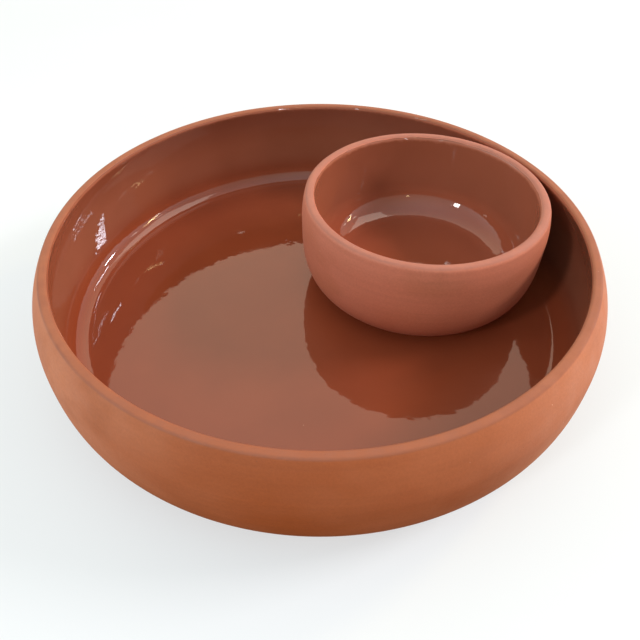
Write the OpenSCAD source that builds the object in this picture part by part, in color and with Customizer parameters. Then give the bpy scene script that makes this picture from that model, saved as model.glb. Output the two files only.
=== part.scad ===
// Chip and dip server in fired terracotta: a wide low bowl for the chips, glazed inside, and a
// small loose bowl for the dip that stands on its floor. Both bowls are turned about an upright
// axis, so each one is a single outline swept round. The clay stays bare on the outside, on the
// foot and over the rim, and a thin coat of glaze lines the inside up to the lip.
// Z = 0 is the table under the foot of the chip bowl, on that bowl's own axis.

/* [Chip bowl] */
// Widest diameter of the chip bowl
chip_width = 305; // [300:1:320]
// Diameter of the mouth, between the inner edges of the rim
chip_mouth = 278; // [278:0.1:282]
// Height of the chip bowl from the table to the top of the rim
chip_height = 69.6; // [66:0.1:76]
// Thickness of the rim
chip_rim = 5.2; // [4:0.1:7]
// Rounding of the rim's two edges, with the rest of its top flat between them
chip_lip = 1.8; // [1.2:0.1:2]
// Height of the widest point above the table
chip_waist = 41.1; // [36:0.1:46]
// Height of the glazed floor above the table
chip_floor = 9.9; // [8:0.1:14]
// Radius between the floor and the wall inside
chip_corner = 12.9; // [10:0.1:14]
// Radius of the flat part of the floor
chip_flat = 132.3; // [126:0.1:132.5]
// Radius at which the underside becomes level
chip_belly = 100; // [90:1:112]
// How square the lower wall is: 2 is an ellipse, and more is squarer
chip_fullness = 3; // [2:0.1:4]
// Radius of the foot ring
chip_foot = 117; // [113:0.5:120]
// Width of the foot ring
chip_foot_width = 7; // [5:0.5:12]

/* [Dip bowl] */
// Widest diameter of the dip bowl
dip_width = 141.5; // [139:0.5:141.5]
// Diameter of the mouth, between the inner edges of the rim
dip_mouth = 126.3; // [118:0.1:126.5]
// Height of the dip bowl from its foot to the top of its rim
dip_height = 61.4; // [56:0.1:66]
// Thickness of the rim
dip_rim = 6.1; // [5.4:0.1:6.1]
// Rounding of the rim's two edges, with the rest of its top flat between them
dip_lip = 2.7; // [1.2:0.1:2.7]
// Height of the widest point above the foot
dip_waist = 46; // [38:0.1:48]
// Height of the glazed floor above the foot
dip_floor = 8.3; // [7:0.1:11]
// Radius between the floor and the wall inside
dip_corner = 19.3; // [12:0.1:20]
// Radius of the flat part of the floor
dip_flat = 43.9; // [38:0.1:44]
// Radius at which the underside becomes level
dip_belly = 26; // [22:0.5:38]
// How square the lower wall is: 2 is an ellipse, and more is squarer
dip_fullness = 3.9; // [2.4:0.1:4]
// Radius of the foot ring
dip_foot = 42; // [40:0.5:44]
// Width of the foot ring
dip_foot_width = 5; // [4:0.5:8]
// Where the dip bowl stands, to the right of the chip bowl's axis
dip_x = 60.2; // [50:0.1:60.2]
// Where the dip bowl stands, behind the chip bowl's axis
dip_y = 29.8; // [20:0.1:29.8]

/* [Clay and glaze] */
// Thickness of the glaze
coat = 0.4; // [0.3:0.1:0.6]
// How far round the rim's inner edge the glaze climbs, in degrees above level
glaze_climb = 36; // [10:1:50]
// Angle over which the edge of the glaze thins away to nothing
glaze_taper = 16; // [6:1:20]
// Height of each foot ring below the turned underside
foot_height = 1.8; // [1.2:0.1:2.4]
// Depth of the hollow inside each foot ring
foot_hollow = 2.2; // [1.4:0.1:2.6]
// Rounding of the edges of each foot ring
foot_edge = 0.6; // [0.3:0.1:0.8]
// Lean of the inner wall where it meets the corner, in degrees
wall_lean = 4; // [2:0.5:6]

/* [Hidden] */

clay_colour = [0.72, 0.42, 0.31];
glaze_colour = [0.47, 0.22, 0.15];
arc_step = 6;      // degrees between the points of an arc
wall_points = 8;   // points along each swelling stretch of wall
belly_points = 16; // points round the lower wall, from the waist to the foot
$fn = 96;

// One bowl's dimensions, in the order that the functions below read them
CHIP = [chip_width / 2, chip_mouth / 2, chip_height, chip_rim, chip_waist, chip_floor,
        chip_corner, chip_flat, chip_belly, chip_fullness, chip_foot, chip_foot_width,
        chip_lip];
DIP = [dip_width / 2, dip_mouth / 2, dip_height, dip_rim, dip_waist, dip_floor,
       dip_corner, dip_flat, dip_belly, dip_fullness, dip_foot, dip_foot_width,
       dip_lip];
function waist_r(b) = b[0];
function mouth_r(b) = b[1];
function rim_width(b) = b[3];
function waist_z(b) = b[4];
function floor_z(b) = b[5];
function corner_r(b) = b[6];
function flat_r(b) = b[7];
function belly_r(b) = b[8];
function fullness(b) = b[9];
function foot_r(b) = b[10];
function foot_width(b) = b[11];
function lip_r(b) = b[12];
function lip_z(b) = b[2] - lip_r(b);

function reversed(points) = [for (i = [len(points) - 1 : -1 : 0]) points[i]];

// The point at an angle round a centre; angles run anticlockwise from the outward direction
function around(centre, radius, angle) = centre + radius * [cos(angle), sin(angle)];

// Points along an arc, both ends included
function arc(centre, radius, from, to) =
    let (steps = ceil(abs(to - from) / arc_step))
    [for (i = [0 : steps])
        around(centre, radius, from + (to - from) * i / steps)];

// Points of a wall that leans out from start and stands upright at the waist, ends left out
function swell(start, waist) =
    [for (i = [1 : wall_points - 1])
        let (t = i / wall_points)
        [waist[0] - (waist[0] - start[0]) * pow(1 - t, 2),
         start[1] + (waist[1] - start[1]) * t]];

// Points of a quarter of a superellipse, from the waist down to an underside level at z = low
function quarter(b, low) =
    let (power = 2 / fullness(b))
    [for (i = [0 : belly_points])
        let (a = 90 * i / belly_points)
        [belly_r(b) + (waist_r(b) - belly_r(b)) * pow(cos(a), power),
         waist_z(b) - (waist_z(b) - low) * pow(sin(a), power)]];

// How far each wall leans out where it meets the rim, which is also how far round the rim's edge
// the arc runs on, so that the wall leaves it smoothly
function lean(run, drop) = atan(2 * run / drop);
function outer_lean(b) = lean(waist_r(b) - mouth_r(b) - rim_width(b), lip_z(b) - waist_z(b));
function inner_lean(b) = lean(inner_waist_r(b) - mouth_r(b), lip_z(b) - waist_z(b));

// The centres of the rim's rounded inner and outer edges
function lip_inside(b) = [mouth_r(b) + lip_r(b), lip_z(b)];
function lip_outside(b) = [mouth_r(b) + rim_width(b) - lip_r(b), lip_z(b)];

// The inside of the bowl moved back by depth into the wall: the rim's inner edge, the wall that
// swells to the waist and leans in again, the corner, and the floor as far as the axis
function corner_centre(b) = [flat_r(b), floor_z(b) + corner_r(b)];
function corner_top(b) = around(corner_centre(b), corner_r(b), -wall_lean);
function inner_waist_r(b) =
    corner_top(b)[0] + (waist_z(b) - corner_top(b)[1]) * tan(wall_lean) / 2;
function inside(b, depth, climb) =
    let (waist = [inner_waist_r(b) + depth, waist_z(b)],
         under_rim = 180 + inner_lean(b),
         foot_of_wall = [corner_top(b)[0] + depth, corner_top(b)[1]])
    concat(
        arc(lip_inside(b), lip_r(b) - depth, 180 - climb, under_rim),
        swell(around(lip_inside(b), lip_r(b) - depth, under_rim), waist),
        [waist],
        reversed(swell(foot_of_wall, waist)),
        arc(corner_centre(b), corner_r(b) + depth, -wall_lean, -90),
        [[0, floor_z(b) - depth]]);

// The hollow of the foot ring, the ring and the outside of the bowl up to the rim
function outside(b) =
    let (belly = [for (p = quarter(b, foot_height)) if (p[0] > foot_r(b) + foot_edge) p],
         ring_in = foot_r(b) - foot_width(b),
         waist = [waist_r(b), waist_z(b)])
    concat(
        [[0, foot_hollow]],
        arc([ring_in - foot_edge, foot_hollow - foot_edge], foot_edge, 90, 0),
        arc([ring_in + foot_edge, foot_edge], foot_edge, 180, 270),
        arc([foot_r(b) - foot_edge, foot_edge], foot_edge, -90, 0),
        [[foot_r(b), foot_height]],
        reversed(belly),
        reversed(swell(around(lip_outside(b), lip_r(b), outer_lean(b)), waist)));

// Turned clay: the bare rim runs over the top as far as the edge of the glaze
module clay_body(b) {
    color(clay_colour)
    rotate_extrude()
    polygon(concat(
        outside(b),
        arc(lip_outside(b), lip_r(b), outer_lean(b), 90),
        arc(lip_inside(b), lip_r(b), 90, 180 - glaze_climb),
        inside(b, coat, glaze_climb - glaze_taper)));
}

// Glaze: a skin between the surface of the clay and the surface that shows
module glaze_coat(b) {
    color(glaze_colour)
    rotate_extrude()
    polygon(concat(
        inside(b, 0, glaze_climb),
        reversed(inside(b, coat, glaze_climb - glaze_taper))));
}

// The dip bowl stands on the chip bowl's glazed floor
module on_the_floor() {
    translate([dip_x, dip_y, chip_floor]) children();
}

module chip_bowl_clay() clay_body(CHIP);
module chip_bowl_glaze() glaze_coat(CHIP);
module dip_bowl_clay() on_the_floor() clay_body(DIP);
module dip_bowl_glaze() on_the_floor() glaze_coat(DIP);

chip_bowl_clay();
chip_bowl_glaze();
dip_bowl_clay();
dip_bowl_glaze();
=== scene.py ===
"""Looks for the chip and dip server: two turned terracotta bowls, bare outside and glazed inside.

Everything is in metres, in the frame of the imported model. Each bowl's clay and glaze is swept
again here in finer steps, with the slight unevenness of hand-finished pottery, and stands for
the CAD node of the same shape.
"""
import math

import bpy
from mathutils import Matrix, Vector, noise


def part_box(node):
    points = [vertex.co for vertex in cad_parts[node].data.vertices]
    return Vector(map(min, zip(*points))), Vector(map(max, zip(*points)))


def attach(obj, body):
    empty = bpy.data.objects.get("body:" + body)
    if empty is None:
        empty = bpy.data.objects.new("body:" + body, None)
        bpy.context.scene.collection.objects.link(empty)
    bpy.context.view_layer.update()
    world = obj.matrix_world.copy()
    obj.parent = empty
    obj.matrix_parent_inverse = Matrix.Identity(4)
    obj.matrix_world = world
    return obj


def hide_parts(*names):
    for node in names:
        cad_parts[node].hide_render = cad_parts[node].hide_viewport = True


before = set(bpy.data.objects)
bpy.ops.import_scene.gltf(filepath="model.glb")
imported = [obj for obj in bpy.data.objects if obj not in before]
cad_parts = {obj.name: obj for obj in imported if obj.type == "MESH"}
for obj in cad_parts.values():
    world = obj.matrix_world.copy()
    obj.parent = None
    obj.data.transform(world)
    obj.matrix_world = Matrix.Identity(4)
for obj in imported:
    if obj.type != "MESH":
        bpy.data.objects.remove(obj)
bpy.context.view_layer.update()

MM = 0.001
SCENE = bpy.context.scene


# ---------------------------------------------------------------- the two bowls' outlines

COAT = 0.4 * MM             # thickness of the glaze
FOOT_HEIGHT = 1.8 * MM
FOOT_HOLLOW = 2.2 * MM
FOOT_EDGE = 0.6 * MM        # rounding of the foot ring's edges
WALL_LEAN = math.radians(4)         # of the inner wall, where it meets the corner
GLAZE_CLIMB = math.radians(36)      # how far round the rim's inner edge the glaze climbs
GLAZE_TAPER = math.radians(16)      # over which its edge thins away to nothing


def around(centre, radius, angle):
    return (centre[0] + radius * math.cos(angle), centre[1] + radius * math.sin(angle))


class Bowl:
    """One bowl's outline as the CAD has it, from measures in millimetres: heights run up from
    its foot, and radii from its axis."""

    def __init__(self, node, seed, mouth, rim, lip, waist, floor, corner, flat, belly, fullness,
                 foot, foot_width):
        low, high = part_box(node)
        self.axis = Vector(((low[0] + high[0]) / 2, (low[1] + high[1]) / 2, low[2]))
        self.width_r = (high[0] - low[0]) / 2
        self.height = high[2] - low[2]
        self.seed = seed
        self.mouth = mouth * MM
        self.rim = rim * MM
        self.lip = lip * MM
        self.waist = waist * MM
        self.floor = floor * MM
        self.corner = corner * MM
        self.flat = flat * MM
        self.belly = belly * MM
        self.fullness = fullness
        self.foot = foot * MM
        self.foot_width = foot_width * MM

        self.floor_at = low[2] + self.floor     # heights of the floor and the rim in the scene
        self.rim_at = high[2]
        self.glaze_edge_at = high[2] - lip * MM * (1 - math.sin(GLAZE_CLIMB))
        self.lip_z = self.height - self.lip
        self.lip_in = (self.mouth + self.lip, self.lip_z)
        self.lip_out = (self.mouth + self.rim - self.lip, self.lip_z)
        self.corner_at = (self.flat, self.floor + self.corner)
        self.corner_top = around(self.corner_at, self.corner, -WALL_LEAN)
        rise = self.waist - self.corner_top[1]
        self.inner_waist_r = self.corner_top[0] + rise * math.tan(WALL_LEAN) / 2
        drop = self.lip_z - self.waist
        self.outer_lean = math.atan(2 * (self.width_r - self.mouth - self.rim) / drop)
        self.inner_lean = math.atan(2 * (self.inner_waist_r - self.mouth) / drop)


def arc(centre, radius, start, end, steps):
    """Points of an arc, both ends included."""
    return [around(centre, radius, start + (end - start) * i / steps) for i in range(steps + 1)]


def swell(start, waist, steps):
    """Points of a wall that leans out from start and stands upright at waist, no ends."""
    points = []
    for i in range(1, steps):
        t = i / steps
        points.append((waist[0] - (waist[0] - start[0]) * (1 - t) ** 2,
                       start[1] + (waist[1] - start[1]) * t))
    return points


def underside(bowl, steps):
    """Points of the lower wall, from beside the foot ring up to the waist."""
    power = 2 / bowl.fullness
    points = []
    for i in range(steps + 1):
        a = math.pi / 2 * i / steps
        points.append((bowl.belly + (bowl.width_r - bowl.belly) * math.cos(a) ** power,
                       bowl.waist - (bowl.waist - FOOT_HEIGHT) * math.sin(a) ** power))
    return [p for p in reversed(points) if p[0] > bowl.foot + FOOT_EDGE]


def level(start_r, end_r, z, steps):
    """Points of a flat stretch, start left out and end included."""
    return [(start_r + (end_r - start_r) * i / steps, z) for i in range(1, steps + 1)]


def outside(bowl):
    """The hollow under the foot, the ring and the wall, up to the rim's outer edge."""
    ring_in = bowl.foot - bowl.foot_width
    waist = (bowl.width_r, bowl.waist)
    on_rim = around(bowl.lip_out, bowl.lip, bowl.outer_lean)
    points = [(0.0, FOOT_HOLLOW)]
    points += level(0.0, ring_in - FOOT_EDGE * 2, FOOT_HOLLOW, 12)
    points += arc((ring_in - FOOT_EDGE, FOOT_HOLLOW - FOOT_EDGE), FOOT_EDGE, math.pi / 2, 0.0, 5)
    points += arc((ring_in + FOOT_EDGE, FOOT_EDGE), FOOT_EDGE, math.pi, 1.5 * math.pi, 5)
    points += arc((bowl.foot - FOOT_EDGE, FOOT_EDGE), FOOT_EDGE, -math.pi / 2, 0.0, 5)
    points += [(bowl.foot, FOOT_HEIGHT)]
    points += underside(bowl, 56)
    points += reversed(swell(on_rim, waist, 24))
    return points


def inside(bowl, depth, climb, floor_steps):
    """The glazed side moved back by depth: the lip's edge, the wall, the corner and the floor."""
    waist = (bowl.inner_waist_r + depth, bowl.waist)
    under_rim = math.pi + bowl.inner_lean
    on_rim = around(bowl.lip_in, bowl.lip - depth, under_rim)
    foot_of_wall = (bowl.corner_top[0] + depth, bowl.corner_top[1])
    points = arc(bowl.lip_in, bowl.lip - depth, math.pi - climb, under_rim, 12)
    points += swell(on_rim, waist, 20)
    points += [waist]
    points += reversed(swell(foot_of_wall, waist, 12))
    points += arc(bowl.corner_at, bowl.corner + depth, -WALL_LEAN, -math.pi / 2, 20)
    points += level(bowl.flat, 0.0, bowl.floor - depth, floor_steps)
    return points


CHIP = Bowl("chip_bowl_clay", 3, mouth=139.0, rim=5.2, lip=1.8, waist=41.1, floor=9.9,
            corner=12.9, flat=132.3, belly=100, fullness=3.0, foot=117, foot_width=7)
DIP = Bowl("dip_bowl_clay", 11, mouth=63.15, rim=6.1, lip=2.7, waist=46.0, floor=8.3,
           corner=19.3, flat=43.9, belly=26, fullness=3.9, foot=42, foot_width=5)


# ---------------------------------------------------------------- unevenness of the handwork

OUT_OF_ROUND = 0.16 * MM    # of each rim
RIM_WAVE = 0.10 * MM        # up and down, along each rim
EDGE_WANDER = math.radians(7)
BEAD = 0.10 * MM            # how proud the glaze stands along its edge
BEAD_WIDTH = 1.1 * MM       # from the glaze's edge to the bead's crest
BEAD_START = 0.3 * MM       # the bead rises from nothing over this much of the edge
GLAZE_SWELL = 0.035 * MM    # slow swell of the glaze over the floor and the walls
GLAZE_SWELL_SIZE = 26 * MM
SWELL_START = 6 * MM        # the swell grows from nothing over this much of the edge
TRUE_BELOW = 0.15           # the share of its height below which a bowl is truly round
TRUE_WITHIN = 0.5           # and the share of the mouth's radius within which it is
CHANNEL_GAP = 7.3           # keeps the noises of a bowl apart


def smooth(x, low, high):
    t = min(max((x - low) / (high - low), 0.0), 1.0)
    return t * t * (3 - 2 * t)


def round_noise(bowl, angle, lobes, channel):
    """Noise from -1 to 1 that closes on itself once round a bowl."""
    along = bowl.seed + channel * CHANNEL_GAP
    return noise.noise(Vector((math.cos(angle) * lobes, math.sin(angle) * lobes, along)))


def handmade(bowl, angle, r, z):
    """Where a turned point really lies: a little out of round, and more so towards the rim."""
    up = smooth(z, TRUE_BELOW * bowl.height, bowl.height)
    out = smooth(r, TRUE_WITHIN * bowl.mouth, bowl.mouth)
    oval = 0.6 * math.cos(2 * angle + bowl.seed) + 0.4 * math.cos(3 * angle - bowl.seed)
    wander = 0.7 * oval + 0.6 * round_noise(bowl, angle, 3.0, 1)
    r += OUT_OF_ROUND * wander * up * out
    wave = round_noise(bowl, angle, 1.6, 2) + 0.4 * round_noise(bowl, angle, 6, 3)
    z += RIM_WAVE * wave * up * up
    return r, z


def glaze_edge(bowl, angle):
    """How far round the lip the glaze climbs at this angle."""
    wander = round_noise(bowl, angle, 5, 4) + 0.6 * round_noise(bowl, angle, 17, 5)
    return GLAZE_CLIMB + EDGE_WANDER * wander


FLOOR_STEPS = 48            # from the corner to the axis, on the side that shows
BACK_STEPS = 10             # and where clay and glaze meet


def glaze_outline(bowl, angle):
    """The showing surface of the glaze from its edge to the axis, then its back, as one loop."""
    climb = glaze_edge(bowl, angle)
    face = inside(bowl, 0.0, climb, FLOOR_STEPS)
    back = inside(bowl, COAT, climb - GLAZE_TAPER, BACK_STEPS)
    swollen = []
    along = 0.0
    last = face[0]
    for i, point in enumerate(face):
        along += math.dist(point, last)
        last = point
        ahead = face[min(i + 1, len(face) - 1)]
        behind = face[max(i - 1, 0)]
        run = (ahead[0] - behind[0], ahead[1] - behind[1])
        size = math.hypot(*run)
        normal = (run[1] / size, -run[0] / size)
        where = Vector((point[0] * math.cos(angle), point[0] * math.sin(angle),
                        point[1] + bowl.seed)) / GLAZE_SWELL_SIZE
        slow = noise.noise(where) + 0.35 * noise.noise(where * 2.7)
        settle = smooth(along, 0.0, SWELL_START)
        bead = along / BEAD_WIDTH * math.exp(1 - along / BEAD_WIDTH)
        proud = GLAZE_SWELL * slow * settle + BEAD * bead * smooth(along, 0.0, BEAD_START)
        swollen.append((max(point[0] - normal[0] * proud, 0.0), point[1] - normal[1] * proud))
    swollen[-1] = (0.0, swollen[-1][1])
    return swollen + list(reversed(back))


def clay_outline(bowl, angle):
    """The clay from the middle of its underside, over the rim, to the middle of its floor."""
    climb = glaze_edge(bowl, angle)
    points = outside(bowl)
    points += arc(bowl.lip_out, bowl.lip, bowl.outer_lean, math.pi / 2, 8)
    points += arc(bowl.lip_in, bowl.lip, math.pi / 2, math.pi - climb, 8)
    points += inside(bowl, COAT, climb - GLAZE_TAPER, BACK_STEPS)
    return points


# ---------------------------------------------------------------- meshes

ON_AXIS = 1e-7              # points nearer the axis than this are shared by all segments
SHARP_ABOVE = math.radians(38)


def lathe(name, bowl, outline, segments):
    """A closed solid swept once round a bowl's axis; outline(bowl, angle) is a closed loop."""
    rings = []
    verts = []
    for s in range(segments):
        angle = 2 * math.pi * s / segments
        ring = []
        for i, (r, z) in enumerate(outline(bowl, angle)):
            if r < ON_AXIS:
                if s == 0:
                    ring.append(len(verts))
                    verts.append(bowl.axis + Vector((0, 0, z)))
                else:
                    ring.append(rings[0][i])
                continue
            r, z = handmade(bowl, angle, r, z)
            ring.append(len(verts))
            verts.append(bowl.axis + Vector((r * math.cos(angle), r * math.sin(angle), z)))
        rings.append(ring)
    faces = []
    count = len(rings[0])
    for s in range(segments):
        here, there = rings[s], rings[(s + 1) % segments]
        for i in range(count):
            j = (i + 1) % count
            corners = []
            for v in (here[i], there[i], there[j], here[j]):
                if v not in corners:
                    corners.append(v)
            if len(corners) > 2:
                faces.append(corners)
    mesh = bpy.data.meshes.new(name)
    mesh.from_pydata(verts, [], faces)
    mesh.update()
    mesh.shade_smooth()
    mesh.set_sharp_from_angle(angle=SHARP_ABOVE)
    obj = bpy.data.objects.new(name, mesh)
    bpy.context.collection.objects.link(obj)
    return obj


# ---------------------------------------------------------------- materials

MIX_A, MIX_B, MIX_RESULT = 6, 7, 2      # the Mix node's sockets that carry colour


def new_node(tree, kind, **settings):
    made = tree.nodes.new(kind)
    for key, value in settings.items():
        setattr(made, key, value)
    return made


class Nodes:
    """A new material's node tree, with short calls for adding and wiring nodes."""

    def __init__(self, name):
        self.material = bpy.data.materials.new(name)
        self.material.use_nodes = True
        self.tree = self.material.node_tree
        self.tree.nodes.clear()
        self.shader = self.add("ShaderNodeBsdfPrincipled")
        output = self.add("ShaderNodeOutputMaterial")
        self.wire(self.shader.outputs["BSDF"], output.inputs["Surface"])
        self.place = self.add("ShaderNodeTexCoord").outputs["Object"]

    def add(self, kind, **settings):
        return new_node(self.tree, kind, **settings)

    def wire(self, source, target):
        self.tree.links.new(source, target)

    def noise(self, size, detail=2.0, rough=0.5, scale=(1, 1, 1), shift=0.0):
        """Noise whose blotches are about size metres across; scale squeezes it along an axis."""
        made = self.add("ShaderNodeTexNoise")
        mapping = self.add("ShaderNodeMapping")
        mapping.inputs["Scale"].default_value = scale
        mapping.inputs["Location"].default_value = (shift, shift, shift)
        self.wire(self.place, mapping.inputs["Vector"])
        self.wire(mapping.outputs["Vector"], made.inputs["Vector"])
        made.inputs["Scale"].default_value = 1 / size
        made.inputs["Detail"].default_value = detail
        made.inputs["Roughness"].default_value = rough
        return made.outputs["Fac"]

    def ranged(self, value, low, high, to_low=0.0, to_high=1.0, smoothly=True):
        """Value from low to high stretched to run from to_low to to_high, and held beyond."""
        made = self.add("ShaderNodeMapRange")
        made.interpolation_type = "SMOOTHSTEP" if smoothly else "LINEAR"
        self.wire(value, made.inputs["Value"])
        made.inputs["From Min"].default_value = low
        made.inputs["From Max"].default_value = high
        made.inputs["To Min"].default_value = to_low
        made.inputs["To Max"].default_value = to_high
        return made.outputs["Result"]

    def math(self, operation, a, b):
        made = self.add("ShaderNodeMath", operation=operation)
        for socket, value in zip(made.inputs, (a, b)):
            if isinstance(value, (int, float)):
                socket.default_value = value
            else:
                self.wire(value, socket)
        return made.outputs[0]

    def mix(self, factor, a, b, blend="MIX"):
        made = self.add("ShaderNodeMix", data_type="RGBA", blend_type=blend)
        sockets = (made.inputs["Factor"], made.inputs[MIX_A], made.inputs[MIX_B])
        for socket, value in zip(sockets, (factor, a, b)):
            if isinstance(value, (int, float)):
                socket.default_value = value
            elif isinstance(value, tuple):
                socket.default_value = (*value, 1.0)
            else:
                self.wire(value, socket)
        return made.outputs[MIX_RESULT]

    def specks(self, cell, share, radius, shift=0.0):
        """1 on small round specks and 0 elsewhere; share of the cells hold one."""
        cells = self.add("ShaderNodeTexVoronoi", feature="F1")
        mapping = self.add("ShaderNodeMapping")
        mapping.inputs["Location"].default_value = (shift, shift, shift)
        self.wire(self.place, mapping.inputs["Vector"])
        self.wire(mapping.outputs["Vector"], cells.inputs["Vector"])
        cells.inputs["Scale"].default_value = 1 / cell
        apart = self.add("ShaderNodeSeparateColor")
        self.wire(cells.outputs["Color"], apart.inputs["Color"])
        chosen = self.math("LESS_THAN", apart.outputs[0], share)
        size = self.math("MULTIPLY", apart.outputs[1], radius / cell)
        near = self.math("LESS_THAN", cells.outputs["Distance"], size)
        return self.math("MULTIPLY", chosen, near)

    def along(self, axis):
        """The coordinate along "X", "Y" or "Z"."""
        apart = self.add("ShaderNodeSeparateXYZ")
        self.wire(self.place, apart.inputs["Vector"])
        return apart.outputs[axis]

    def sideways(self, middle):
        """How far to the left or right of x = middle."""
        return self.math("ABSOLUTE", self.math("SUBTRACT", self.along("X"), middle), 0.0)

    def bump(self, value, distance, below=None):
        made = self.add("ShaderNodeBump")
        made.inputs["Distance"].default_value = distance
        self.wire(value, made.inputs["Height"])
        if below is not None:
            self.wire(below, made.inputs["Normal"])
        return made.outputs["Normal"]


# The low colours are painted shade, each bowl darker towards its foot; the pink colours are real
# pink patches and also painted pale side light on the left and right; the rim colours darken each
# rim's top.
CHIP_CLAY = dict(plain=(0.320, 0.077, 0.019), low=(0.255, 0.058, 0.010),
                 pink_and_side_light=(0.425, 0.138, 0.058), olive=(0.290, 0.076, 0.021),
                 rim=(0.262, 0.080, 0.040))
DIP_CLAY = dict(plain=(0.490, 0.148, 0.086), low=(0.355, 0.090, 0.043),
                pink_and_side_light=(0.450, 0.146, 0.089), olive=(0.395, 0.124, 0.064),
                rim=(0.335, 0.120, 0.084))
PALE_SPECK = (0.70, 0.50, 0.36)
DARK_SPECK = (0.17, 0.055, 0.030)


def clay_material(name, bowl, clay):
    """Bare terracotta: painted shade darkens it towards the foot, and a painted pale side light
    makes it pinker to the left and right, over soft patches, faint turning rings, fine grain, grit
    and a darker rim top."""
    n = Nodes(name)
    blotches = n.noise(55 * MM, detail=2, rough=0.45, scale=(1, 1, 1.8))
    # Painted side light: pinker and paler towards the left and right of each bowl, where cool side
    # light and sheen fall; the blotches add real pink patches at random.
    painted_side_light = n.ranged(n.sideways(bowl.axis.x), 0.3 * bowl.width_r, 0.8 * bowl.width_r, 0, 0.7)
    pink_and_side_light = n.math("ADD", n.ranged(blotches, 0.38, 0.62, 0, 0.3), painted_side_light)
    smoke = n.noise(38 * MM, detail=4, rough=0.55, scale=(1, 1, 1.4), shift=3.1)
    olive = n.ranged(smoke, 0.5, 0.75, 0, 0.6)
    # Painted shade: from three quarters of the height down to the foot the clay darkens towards the
    # low colour.
    up = n.ranged(n.along("Z"), bowl.axis.z + 8 * MM, bowl.axis.z + 0.75 * bowl.height)
    colour = n.mix(pink_and_side_light, n.mix(up, clay["low"], clay["plain"]), clay["pink_and_side_light"])
    colour = n.mix(olive, colour, clay["olive"])

    rings = n.noise(40 * MM, detail=3, rough=0.6, scale=(0.35, 0.35, 22))
    grain = n.noise(1.1 * MM, detail=3, rough=0.6)
    tone = n.math("ADD", n.ranged(rings, 0.3, 0.7, 0.965, 1.035, smoothly=False),
                  n.ranged(grain, 0.25, 0.75, -0.075, 0.075, smoothly=False))
    shade = n.add("ShaderNodeCombineColor")
    for socket in shade.inputs[:3]:
        n.wire(tone, socket)
    colour = n.mix(1.0, colour, shade.outputs[0], blend="MULTIPLY")

    # The rim's top turns darker in uneven patches.
    rim = n.ranged(n.along("Z"), bowl.rim_at - 1.3 * MM, bowl.rim_at - 0.3 * MM)
    rim_patches = n.ranged(n.noise(7 * MM, detail=4, rough=0.6, shift=5.7), 0.3, 0.7, 0.7, 1.0)
    colour = n.mix(n.math("MULTIPLY", rim, rim_patches), colour, clay["rim"])
    pale = n.specks(cell=3.4 * MM, share=0.07, radius=0.28 * MM)
    dark = n.specks(cell=2.3 * MM, share=0.10, radius=0.22 * MM, shift=1.7)
    colour = n.mix(n.math("MULTIPLY", pale, 0.75), colour, PALE_SPECK)
    colour = n.mix(n.math("MULTIPLY", dark, 0.6), colour, DARK_SPECK)
    n.wire(colour, n.shader.inputs["Base Color"])

    polish = n.noise(12 * MM, detail=4, rough=0.6, shift=8.2)
    n.wire(n.ranged(polish, 0.3, 0.7, 0.55, 0.72, smoothly=False), n.shader.inputs["Roughness"])
    n.shader.inputs["Specular IOR Level"].default_value = 0.36
    relief = n.bump(rings, 0.05 * MM)
    relief = n.bump(n.noise(3.2 * MM, detail=3, rough=0.6, shift=2.2), 0.05 * MM, relief)
    relief = n.bump(grain, 0.045 * MM, relief)
    relief = n.bump(n.math("MULTIPLY", dark, -1.0), 0.08 * MM, relief)
    n.wire(relief, n.shader.inputs["Normal"])
    return n.material


CHIP_GLAZE = dict(wall=(0.272, 0.086, 0.048), wall_deep=(0.252, 0.077, 0.041),
                  floor=(0.228, 0.045, 0.018), floor_deep=(0.208, 0.040, 0.016),
                  thin=(0.36, 0.120, 0.070), edge=(0.17, 0.050, 0.028),
                  fleck=(0.44, 0.22, 0.14))
DIP_GLAZE = dict(wall=(0.292, 0.090, 0.050), wall_deep=(0.272, 0.082, 0.044),
                 floor=(0.300, 0.066, 0.031), floor_deep=(0.280, 0.060, 0.027),
                 thin=(0.40, 0.140, 0.085), edge=(0.18, 0.055, 0.032),
                 fleck=(0.46, 0.24, 0.16))


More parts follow.
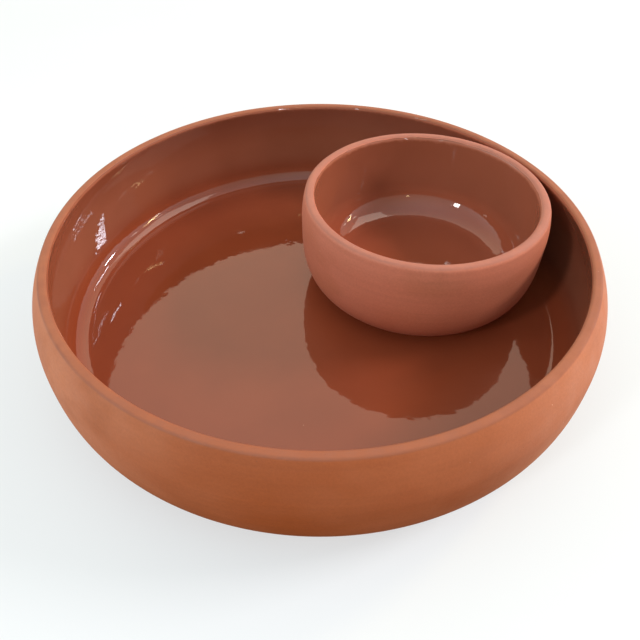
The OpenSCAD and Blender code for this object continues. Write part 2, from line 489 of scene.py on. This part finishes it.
def glaze_material(name, bowl, glaze):
    """Glossy red-brown glaze: pooled and deep on the floor, thinner and paler up the wall and
    under the lip, with a dark line along its edge, uneven by a hair, with a few flecks."""
    n = Nodes(name)
    deep = n.ranged(n.noise(48 * MM, detail=3, rough=0.5, shift=1.3), 0.35, 0.7)
    up = n.ranged(n.along("Z"), bowl.floor_at + 2 * MM, bowl.floor_at + 22 * MM)
    colour = n.mix(up, n.mix(deep, glaze["floor"], glaze["floor_deep"]),
                   n.mix(deep, glaze["wall"], glaze["wall_deep"]))

    ragged = n.noise(6 * MM, detail=4, rough=0.6, shift=4.4)
    lip = n.math("ADD", n.along("Z"),
                 n.ranged(ragged, 0.3, 0.7, -1.2 * MM, 1.2 * MM, smoothly=False))
    thin = n.ranged(lip, bowl.glaze_edge_at - 3.0 * MM, bowl.glaze_edge_at - 0.6 * MM, 0, 0.8)
    colour = n.mix(thin, colour, glaze["thin"])
    edge = n.ranged(n.along("Z"), bowl.glaze_edge_at - 0.5 * MM, bowl.glaze_edge_at, 0, 0.8)
    colour = n.mix(edge, colour, glaze["edge"])
    fleck = n.specks(cell=6.5 * MM, share=0.10, radius=0.30 * MM, shift=0.6)
    colour = n.mix(n.math("MULTIPLY", fleck, 0.5), colour, glaze["fleck"])
    n.wire(colour, n.shader.inputs["Base Color"])

    polish = n.noise(22 * MM, detail=4, rough=0.6, shift=6.1)
    n.wire(n.ranged(polish, 0.3, 0.7, 0.02, 0.06, smoothly=False), n.shader.inputs["Roughness"])
    n.shader.inputs["IOR"].default_value = 1.52
    relief = n.bump(n.noise(7 * MM, detail=1.5, rough=0.5), 0.085 * MM)
    relief = n.bump(n.noise(1.6 * MM, detail=1, rough=0.5, shift=2.9), 0.0025 * MM, relief)
    n.wire(relief, n.shader.inputs["Normal"])
    return n.material


def floor_material():
    """The studio's plain pale floor: lit from within, so that shadows and tints stay faint."""
    n = Nodes("studio_floor")
    tone = n.ranged(n.noise(350 * MM, detail=3, rough=0.5), 0.3, 0.7)
    n.wire(n.mix(tone, (0.29, 0.30, 0.315), (0.31, 0.32, 0.335)), n.shader.inputs["Base Color"])
    n.shader.inputs["Emission Color"].default_value = (1.0, 1.0, 1.0, 1.0)
    n.shader.inputs["Emission Strength"].default_value = 0.52
    n.shader.inputs["Roughness"].default_value = 0.8
    n.shader.inputs["Specular IOR Level"].default_value = 0.1
    return n.material


# ---------------------------------------------------------------- the pieces

PIECES = (
    ("chip_bowl_clay", "clay", CHIP, clay_outline, clay_material, CHIP_CLAY, "chip_bowl", 384),
    ("chip_bowl_glaze", "glaze", CHIP, glaze_outline, glaze_material, CHIP_GLAZE, "chip_bowl", 384),
    ("dip_bowl_clay", "clay", DIP, clay_outline, clay_material, DIP_CLAY, "dip_bowl", 256),
    ("dip_bowl_glaze", "glaze", DIP, glaze_outline, glaze_material, DIP_GLAZE, "dip_bowl", 256),
)
for node_name, slot, bowl, outline, finish, colours, body, segments in PIECES:
    turned = lathe("turned_" + node_name, bowl, outline, segments)
    turned.data.materials.append(finish(node_name + "_finish", bowl, colours))
    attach(turned, body)
    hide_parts(node_name)


# ---------------------------------------------------------------- camera, floor and light

CAMERA_AT = Vector((0.0, -0.26235, 0.26064))
CAMERA_DOWN = math.radians(45.05)
FOCAL_PX = 600.3            # focal length, in pixels of a frame FRAME_PX wide
FRAME_PX = 640
SENSOR_WIDTH = 36.0         # millimetres

view = bpy.data.cameras.new("view")
view.sensor_width = SENSOR_WIDTH
view.lens = view.sensor_width * FOCAL_PX / FRAME_PX
view.clip_start = 0.01
camera = bpy.data.objects.new("view", view)
camera.location = CAMERA_AT
camera.rotation_euler = (math.pi / 2 - CAMERA_DOWN, 0.0, 0.0)
bpy.context.collection.objects.link(camera)
SCENE.camera = camera
SCENE.view_settings.view_transform = "Standard"

FLOOR_SIDE = 8.0
FLOOR_DROP = 0.2 * MM       # a hair under the foot, so that the two don't share a plane
half = FLOOR_SIDE / 2
floor_mesh = bpy.data.meshes.new("studio_floor")
floor_mesh.from_pydata([(-half, -half, 0), (half, -half, 0), (half, half, 0), (-half, half, 0)],
                       [], [(0, 1, 2, 3)])
studio_floor = bpy.data.objects.new("studio_floor", floor_mesh)
studio_floor.location.z = -FLOOR_DROP
floor_mesh.materials.append(floor_material())
bpy.context.collection.objects.link(studio_floor)
studio_floor.visible_diffuse = False
studio_floor.visible_glossy = False
studio_floor.visible_shadow = False


def toward(azimuth, elevation):
    """The direction at these degrees: azimuth 0 is +X and 90 is +Y."""
    a, e = math.radians(azimuth), math.radians(elevation)
    return Vector((math.cos(e) * math.cos(a), math.cos(e) * math.sin(a), math.sin(e)))


def dome(lobes, gloss_lobes, power, backdrop):
    """Soft light from all round: each lobe is (azimuth, elevation, colour), and only gloss sees
    gloss_lobes. The camera itself sees the plain backdrop instead."""
    world = bpy.data.worlds.new("studio")
    world.use_nodes = True
    tree = world.node_tree
    tree.nodes.clear()
    ray = new_node(tree, "ShaderNodeVectorMath", operation="NORMALIZE")
    place = new_node(tree, "ShaderNodeTexCoord")
    tree.links.new(place.outputs["Generated"], ray.inputs[0])
    path = new_node(tree, "ShaderNodeLightPath")

    def strength(azimuth, elevation):
        """1 in the middle of a lobe, and falling away to 0 a right angle from it."""
        facing = new_node(tree, "ShaderNodeVectorMath", operation="DOT_PRODUCT")
        facing.inputs[1].default_value = toward(azimuth, elevation)
        tree.links.new(ray.outputs[0], facing.inputs[0])
        ahead = new_node(tree, "ShaderNodeMath", operation="MAXIMUM")
        ahead.inputs[1].default_value = 0.0
        tree.links.new(facing.outputs["Value"], ahead.inputs[0])
        falloff = new_node(tree, "ShaderNodeMath", operation="POWER")
        falloff.inputs[1].default_value = power
        tree.links.new(ahead.outputs[0], falloff.inputs[0])
        return falloff.outputs[0]

    def added(amount, colour, below):
        """The light below, with a lobe's own light added to it."""
        total = new_node(tree, "ShaderNodeVectorMath", operation="MULTIPLY_ADD")
        total.inputs[1].default_value = colour
        total.inputs[2].default_value = (0, 0, 0)
        tree.links.new(amount, total.inputs[0])
        if below is not None:
            tree.links.new(below, total.inputs[2])
        return total.outputs[0]

    light = None
    for azimuth, elevation, colour in lobes:
        light = added(strength(azimuth, elevation), colour, light)
    for azimuth, elevation, colour in gloss_lobes:
        on_gloss = new_node(tree, "ShaderNodeMath", operation="MULTIPLY")
        tree.links.new(strength(azimuth, elevation), on_gloss.inputs[0])
        tree.links.new(path.outputs["Is Glossy Ray"], on_gloss.inputs[1])
        light = added(on_gloss.outputs[0], colour, light)

    lit = new_node(tree, "ShaderNodeBackground")
    tree.links.new(light, lit.inputs["Color"])
    plain = new_node(tree, "ShaderNodeBackground")
    plain.inputs["Color"].default_value = (*backdrop, 1.0)
    choose = new_node(tree, "ShaderNodeMixShader")
    tree.links.new(path.outputs["Is Camera Ray"], choose.inputs["Fac"])
    tree.links.new(lit.outputs[0], choose.inputs[1])
    tree.links.new(plain.outputs[0], choose.inputs[2])
    output = new_node(tree, "ShaderNodeOutputWorld")
    tree.links.new(choose.outputs[0], output.inputs["Surface"])
    SCENE.world = world


LIGHTS_AWAY = 2.5           # metres from the bowls to every pane


def panel(name, azimuth, elevation, across, up, radiance, colour, gloss_only=False):
    """A bright pane at these degrees, across and up degrees in size, that faces the bowls."""
    width = 2 * LIGHTS_AWAY * math.tan(math.radians(across) / 2)
    height = 2 * LIGHTS_AWAY * math.tan(math.radians(up) / 2)
    light = bpy.data.lights.new(name, "AREA")
    light.shape = "RECTANGLE"
    light.size = width
    light.size_y = height
    light.energy = radiance * math.pi * width * height
    light.color = colour
    obj = bpy.data.objects.new(name, light)
    way = toward(azimuth, elevation)
    obj.location = way * LIGHTS_AWAY
    obj.rotation_euler = way.to_track_quat("Z", "Y").to_euler()
    obj.visible_camera = False
    obj.visible_diffuse = not gloss_only
    bpy.context.collection.objects.link(obj)
    return obj


LOBES = (
    (0, 0, (1.55, 1.78, 1.92)),
    (60, 0, (0.21, 0.15, 0.30)),
    (120, 0, (0.48, 0.28, 0.14)),
    (180, 0, (1.62, 1.72, 1.78)),
    (240, 0, (0.14, 0.06, 0.0)),
    (300, 0, (0.35, 0.04, 0.0)),
    (0, -42, (0.35, 0.16, 0.02)),
    (180, -42, (0.35, 0.14, 0.02)),
    (0, 42, (0.09, 0.04, 0.0)),
    (60, 42, (0.71, 0.66, 0.48)),
    (120, 42, (0.92, 1.04, 0.86)),
    (240, 42, (0.60, 0.84, 0.86)),
    (300, 42, (0.52, 0.50, 0.38)),
    (0, 90, (0.30, 0.54, 0.70)),
)
GLOSS_LOBES = (
    (90, 50, (0.98, 0.28, 0.08)),
    (40, -25, (0.7, 0.7, 0.55)),
)
dome(LOBES, GLOSS_LOBES, power=4.0, backdrop=(0.93, 0.93, 0.93))

COOL = (0.93, 0.95, 1.08)
GOLD = (1.0, 0.72, 0.35)
WARM = (1.0, 0.88, 0.76)

# Each pane is (azimuth, elevation, degrees across, degrees up, radiance, colour).
KEY = (32, 31, 8.3, 12.0, 31.0, (1.0, 0.71, 0.23))
FILL = (8, 34, 16.0, 8.0, 50.0, (1.0, 0.92, 0.90))
WINDOW = (221, 30, 5.5, 13.0, 39.0, (1.0, 1.0, 1.0))
panel("key", *KEY).visible_glossy = False
panel("fill", *FILL).visible_glossy = False
panel("window", *WINDOW)

# What the glaze mirrors of a room: a pale glow, a bright pair and streaks for the chip bowl's
# left wall, golden lamps for its corner, two dim shapes, and sparkles for the rims.
for i, glint in enumerate((
        (28, 59, 34.0, 20.0, 2.5, WARM),
        (29.8, 32, 3.2, 2.4, 85.0, COOL),
        (33.4, 31.8, 3.2, 2.0, 85.0, COOL),
        (46.5, 41.3, 5.0, 0.35, 60.0, COOL),
        (52.5, 39.7, 5.0, 0.35, 60.0, COOL),
        (50, 42.3, 6.0, 0.25, 60.0, COOL),
        (8, 37, 4.0, 1.2, 45.0, GOLD),
        (4, 34, 4.0, 1.6, 60.0, GOLD),
        (0, 31.5, 3.0, 1.2, 60.0, GOLD),
        (-3, 29, 2.5, 1.0, 60.0, WARM),
        (15, 35, 3.0, 4.0, 5.0, WARM),
        (2, 40, 4.0, 2.0, 6.0, WARM),
        (-73, 8, 4.0, 4.0, 45.0, COOL),
        (-108, 12, 3.0, 3.0, 45.0, COOL),
        (-48, 15, 3.0, 3.0, 45.0, WARM),
        (-80, 27, 3.0, 2.0, 25.0, GOLD))):
    panel("glint_%d" % i, *glint, gloss_only=True)
